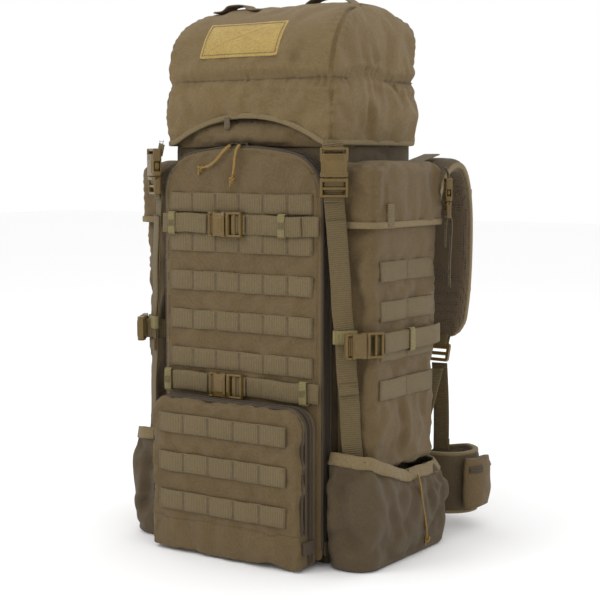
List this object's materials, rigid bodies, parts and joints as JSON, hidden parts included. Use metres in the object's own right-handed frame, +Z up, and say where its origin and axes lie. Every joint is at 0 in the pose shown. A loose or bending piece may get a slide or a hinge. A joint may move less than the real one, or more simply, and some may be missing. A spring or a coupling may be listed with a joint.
{
  "type": "hunting backpack",
  "caption": "Tall framed hunting backpack with a full-length zipped front, hooded lid, flapped side pouches, stow pockets, shoulder harness and hip belt.",
  "frame": {"origin": "middle of the pack's footprint, on the ground", "axes": "+Z up along the pack's height, -Y out of the front panel, +X towards the wearer's right"},
  "size_m": [0.408, 0.3881, 0.715],
  "materials": {
    "pack_cloth": "woven nylon pack cloth with a dull coated face",
    "lining": "thin plain-woven lining cloth",
    "webbing": "cross-ribbed narrow webbing",
    "haul_webbing": "heavy cross-ribbed webbing",
    "elastic": "knitted elastic",
    "buckle_plastic": "moulded acetal, satin",
    "zip_tape": "coil zip on twill tape",
    "slider_metal": "cast zinc, dark lacquer",
    "cord": "braided sheath cord",
    "hook_loop": "napped loop field",
    "air_mesh": "spacer mesh over foam",
    "back_cloth": "woven nylon pack cloth",
    "frame_plastic": "high-density polyethylene sheet",
    "stay_aluminium": "extruded flat bar"
  },
  "bodies": {
    "bag": {"main_compartment": "pack_cloth", "storm_collar": "lining", "frame_sheet": "frame_plastic", "frame_stays": "stay_aluminium", "back_skin": "back_cloth", "back_pads": "air_mesh", "main_zip_bag": "zip_tape", "side_pouch_right": "pack_cloth", "side_pouch_left": "pack_cloth", "side_webbing": "webbing", "side_straps": "webbing", "side_sockets": "buckle_plastic", "stow_pocket_right": "pack_cloth", "stow_pocket_left": "pack_cloth", "stow_cords": "cord", "lid_straps": "webbing", "harness_webbing_right": "webbing", "harness_webbing_left": "webbing"},
    "haul_handle": {"haul_handle": "haul_webbing"},
    "lid": {"lid_shell": "pack_cloth", "lid_floor": "lining", "lid_patch": "hook_loop", "lid_webbing": "webbing", "lid_sockets": "buckle_plastic"},
    "lid_plug_right": {"lid_plug_right": "buckle_plastic"},
    "lid_plug_left": {"lid_plug_left": "buckle_plastic"},
    "panel": {"front_panel": "pack_cloth", "main_zip_panel": "zip_tape", "panel_webbing": "webbing", "cross_straps": "webbing", "cross_keepers": "elastic", "cross_sockets": "buckle_plastic", "pocket_base": "pack_cloth"},
    "upper_plug": {"upper_cross_plug": "buckle_plastic"},
    "lower_plug": {"lower_cross_plug": "buckle_plastic"},
    "pocket_flap": {"pocket_flap": "pack_cloth", "pocket_zip": "zip_tape", "pocket_webbing": "webbing"},
    "slider_right": {"slider_right": "slider_metal", "pull_cord_right": "cord"},
    "slider_left": {"slider_left": "slider_metal", "pull_cord_left": "cord"},
    "side_flap_right": {"side_flap_right": "pack_cloth", "flap_buckle_right": "buckle_plastic"},
    "side_flap_left": {"side_flap_left": "pack_cloth", "flap_buckle_left": "buckle_plastic"},
    "side_plug_right": {"side_plug_right": "buckle_plastic"},
    "side_plug_left": {"side_plug_left": "buckle_plastic"},
    "shoulder_right": {"shoulder_strap_right": "air_mesh", "strap_lock_right": "buckle_plastic", "sternum_half_right": "buckle_plastic"},
    "shoulder_left": {"shoulder_strap_left": "air_mesh", "strap_lock_left": "buckle_plastic", "sternum_half_left": "buckle_plastic"},
    "hip_right": {"hip_wing_right": "air_mesh", "hip_pocket_right": "pack_cloth", "belt_end_right": "buckle_plastic"},
    "hip_left": {"hip_wing_left": "air_mesh", "hip_pocket_left": "pack_cloth", "belt_end_left": "buckle_plastic"}
  },
  "joints": [
    {"name": "lid_fold", "type": "hinge", "parent": "bag", "child": "lid", "pos_m": [0, 0.0702, 0.492], "axis": [-1, 0, 0], "range_deg": [0, 58]},
    {"name": "panel_fold", "type": "hinge", "parent": "bag", "child": "panel", "pos_m": [0, -0.1948, 0.0003], "axis": [1, 0, 0], "range_deg": [0, 85]},
    {"name": "pocket_fold", "type": "hinge", "parent": "panel", "child": "pocket_flap", "pos_m": [0, -0.1925, 0.0446], "axis": [-1, 0, 0], "range_deg": [-85, 0]},
    {"name": "side_flap_right_fold", "type": "hinge", "parent": "bag", "child": "side_flap_right", "pos_m": [0.1278, 0, 0.5], "axis": [0, -1, 0], "range_deg": [0, 75]},
    {"name": "side_flap_left_fold", "type": "hinge", "parent": "bag", "child": "side_flap_left", "pos_m": [-0.1278, 0, 0.5], "axis": [0, 1, 0], "range_deg": [0, 75]},
    {"name": "haul_handle_swing", "type": "hinge", "parent": "bag", "child": "haul_handle", "pos_m": [0, 0.0782, 0.4765], "axis": [1, 0, 0], "range_deg": [0, 80]},
    {"name": "lid_plug_right_release", "type": "slide", "parent": "bag", "child": "lid_plug_right", "axis": [0, 0, -1], "range_m": [0, 0.026]},
    {"name": "lid_plug_left_release", "type": "slide", "parent": "bag", "child": "lid_plug_left", "axis": [0, 0, -1], "range_m": [0, 0.026]},
    {"name": "upper_plug_release", "type": "slide", "parent": "panel", "child": "upper_plug", "axis": [1, 0, 0], "range_m": [0, 0.022]},
    {"name": "lower_plug_release", "type": "slide", "parent": "panel", "child": "lower_plug", "axis": [1, 0, 0], "range_m": [0, 0.022]},
    {"name": "side_plug_right_release", "type": "slide", "parent": "bag", "child": "side_plug_right", "axis": [0.5446, 0.8387, 0], "range_m": [0, 0.022]},
    {"name": "side_plug_left_release", "type": "slide", "parent": "bag", "child": "side_plug_left", "axis": [-0.5446, 0.8387, 0], "range_m": [0, 0.022]},
    {"name": "slider_right_run", "type": "hinge", "parent": "panel", "child": "slider_right", "pos_m": [0, -0.138, 0.121], "axis": [0, 1, 0], "range_deg": [0, 10]},
    {"name": "slider_left_run", "type": "hinge", "parent": "panel", "child": "slider_left", "pos_m": [0, -0.138, 0.121], "axis": [0, -1, 0], "range_deg": [0, 6]},
    {"name": "shoulder_right_swing", "type": "hinge", "parent": "bag", "child": "shoulder_right", "pos_m": [0, 0.092, 0.45], "axis": [1, 0, 0], "range_deg": [0, 12], "deforming": ["harness_webbing_right"]},
    {"name": "shoulder_left_swing", "type": "hinge", "parent": "bag", "child": "shoulder_left", "pos_m": [0, 0.092, 0.45], "axis": [1, 0, 0], "range_deg": [0, 12], "deforming": ["harness_webbing_left"]},
    {"name": "hip_right_swing", "type": "hinge", "parent": "bag", "child": "hip_right", "pos_m": [0.096, 0.1, 0.064], "axis": [0, 0, -1], "range_deg": [0, 12]},
    {"name": "hip_left_swing", "type": "hinge", "parent": "bag", "child": "hip_left", "pos_m": [-0.096, 0.1, 0.064], "axis": [0, 0, 1], "range_deg": [0, 12]}
  ]
}
